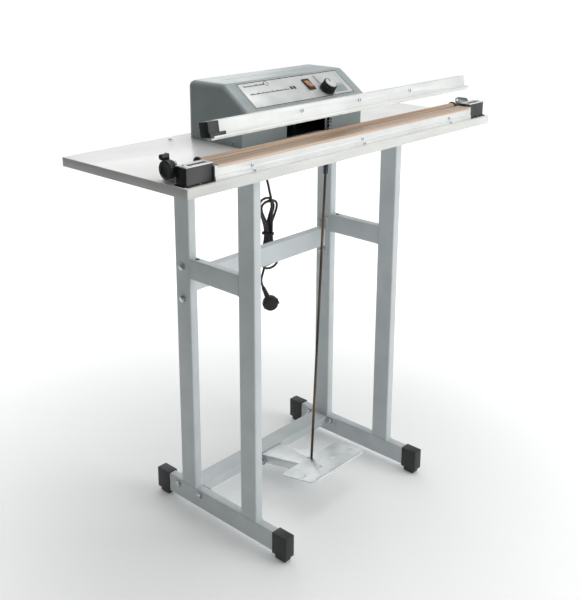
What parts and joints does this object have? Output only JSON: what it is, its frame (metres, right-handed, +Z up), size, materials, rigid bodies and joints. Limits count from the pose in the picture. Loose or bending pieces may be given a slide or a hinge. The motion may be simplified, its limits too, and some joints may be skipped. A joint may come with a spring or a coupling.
{
  "type": "impulse heat sealer",
  "caption": "Foot-operated impulse heat sealer: a long hinged jaw over a heated bar on a board, a control housing behind it, and a tubular stand with a pedal and pull rod.",
  "frame": {"origin": "on the floor, midway between the frame's sides and midway along the foot rails", "axes": "+X along the table to the operator's right, +Y from the operator to the back, +Z up"},
  "size_m": [0.95, 0.4181, 0.97],
  "materials": {
    "frame_paint": "light grey powder coat",
    "housing_paint": "grey-blue powder coat",
    "black_paint": "black powder coat",
    "black_plastic": "moulded black plastic",
    "board_laminate": "white laminate over chipboard",
    "zinc": "bright zinc plate",
    "stainless": "polished stainless sheet",
    "dark_steel": "oiled steel",
    "jaw_aluminium": "satin anodised extrusion",
    "silicone": "off-white silicone",
    "ptfe_cloth": "PTFE-coated glass cloth",
    "insulation": "fibre insulation tape",
    "element": "nichrome ribbon",
    "terminal": "brown moulded resin",
    "label": "printed silver foil",
    "rocker": "tinted clear rocker",
    "circuit_board": "solder-masked board",
    "core_steel": "laminated core",
    "switch_red": "red plunger",
    "cord_rubber": "black cable sheath"
  },
  "bodies": {
    "stand": {"table_top": "board_laminate", "left_foot_rail": "frame_paint", "right_foot_rail": "frame_paint", "foot_caps": "black_plastic", "left_front_leg": "frame_paint", "right_front_leg": "frame_paint", "left_rear_leg": "frame_paint", "right_rear_leg": "frame_paint", "left_side_rail": "frame_paint", "right_side_rail": "frame_paint", "back_crossbar": "frame_paint", "bottom_crossbar": "frame_paint", "frame_bolts": "zinc", "table_bolts": "zinc", "pedal_bolt": "zinc", "rod_bush": "black_plastic", "return_spring": "zinc", "pivot_shaft": "zinc", "left_bearing_bracket": "zinc", "right_bearing_bracket": "zinc", "lower_jaw": "jaw_aluminium", "insulation_strip": "insulation", "heating_element": "element", "ptfe_cloth": "ptfe_cloth", "left_roll_bracket": "zinc", "right_roll_bracket": "zinc", "left_end_cover": "black_paint", "right_end_cover": "black_paint", "left_cover_plate": "jaw_aluminium", "right_cover_plate": "jaw_aluminium", "left_terminal_block": "terminal", "right_terminal_block": "terminal", "lower_jaw_screws": "zinc", "housing": "housing_paint", "housing_screws": "zinc", "control_label": "label", "switch_body": "black_plastic", "timer_board": "circuit_board", "transformer": "core_steel", "start_switch": "black_plastic", "cord_gland": "black_plastic", "mains_cord": "cord_rubber", "cord_hank": "cord_rubber", "plug": "black_plastic"},
    "jaw": {"jaw_arm": "black_paint", "upper_jaw": "jaw_aluminium", "silicone_strip": "silicone", "upper_jaw_left_cap": "black_plastic", "upper_jaw_right_cap": "jaw_aluminium", "upper_jaw_screws": "zinc"},
    "pedal": {"foot_pedal": "stainless"},
    "rod": {"pull_rod": "dark_steel", "rod_nuts": "dark_steel"},
    "roll": {"cloth_roll": "ptfe_cloth", "roll_core": "black_paint", "roll_knob": "black_plastic"},
    "lock_lever": {"roll_lock_lever": "black_plastic"},
    "rocker": {"switch_rocker": "rocker"},
    "knob": {"timer_knob": "black_plastic"},
    "plunger": {"start_plunger": "switch_red"}
  },
  "joints": [
    {"name": "jaw_hinge", "type": "hinge", "parent": "stand", "child": "jaw", "pos_m": [0.004, 0.059, 0.881], "axis": [1, 0, 0], "range_deg": [0, 9.5], "stiffness_Nm_per_rad": 14, "springref_deg": -34.38, "deforming": ["return_spring"]},
    {"name": "pedal_hinge", "type": "hinge", "parent": "stand", "child": "pedal", "pos_m": [0.004, 0.065, 0.04], "axis": [1, 0, 0], "range_deg": [0, 12.1]},
    {"name": "rod_slide", "type": "slide", "parent": "stand", "child": "rod", "axis": [0, 0.0433, -0.9991], "range_m": [0, 0.0262]},
    {"name": "plunger_slide", "type": "slide", "parent": "stand", "child": "plunger", "axis": [0, 0, 1], "range_m": [0, 0.003]},
    {"name": "roll_turn", "type": "hinge", "parent": "stand", "child": "roll", "pos_m": [0, -0.14, 0.873], "axis": [1, 0, 0], "continuous": true},
    {"name": "lock_lever_hinge", "type": "hinge", "parent": "stand", "child": "lock_lever", "pos_m": [-0.4585, -0.119, 0.879], "axis": [1, 0, 0], "range_deg": [-30, 0]},
    {"name": "switch_rock", "type": "hinge", "parent": "stand", "child": "rocker", "pos_m": [0.038, -0.0081, 0.9488], "axis": [1, 0, 0], "range_deg": [0, 12]},
    {"name": "timer_turn", "type": "hinge", "parent": "stand", "child": "knob", "pos_m": [0.078, -0.02587, 0.93584], "axis": [0, -0.5889, 0.8082], "range_deg": [0, 300]}
  ],
  "couplings": [
    {"joint": "pedal_hinge", "follows": "jaw_hinge", "ratio": 1.2632},
    {"joint": "rod_slide", "follows": "jaw_hinge", "m_per_rad": 0.1568},
    {"joint": "plunger_slide", "follows": "jaw_hinge", "m_per_rad": 0.017}
  ]
}
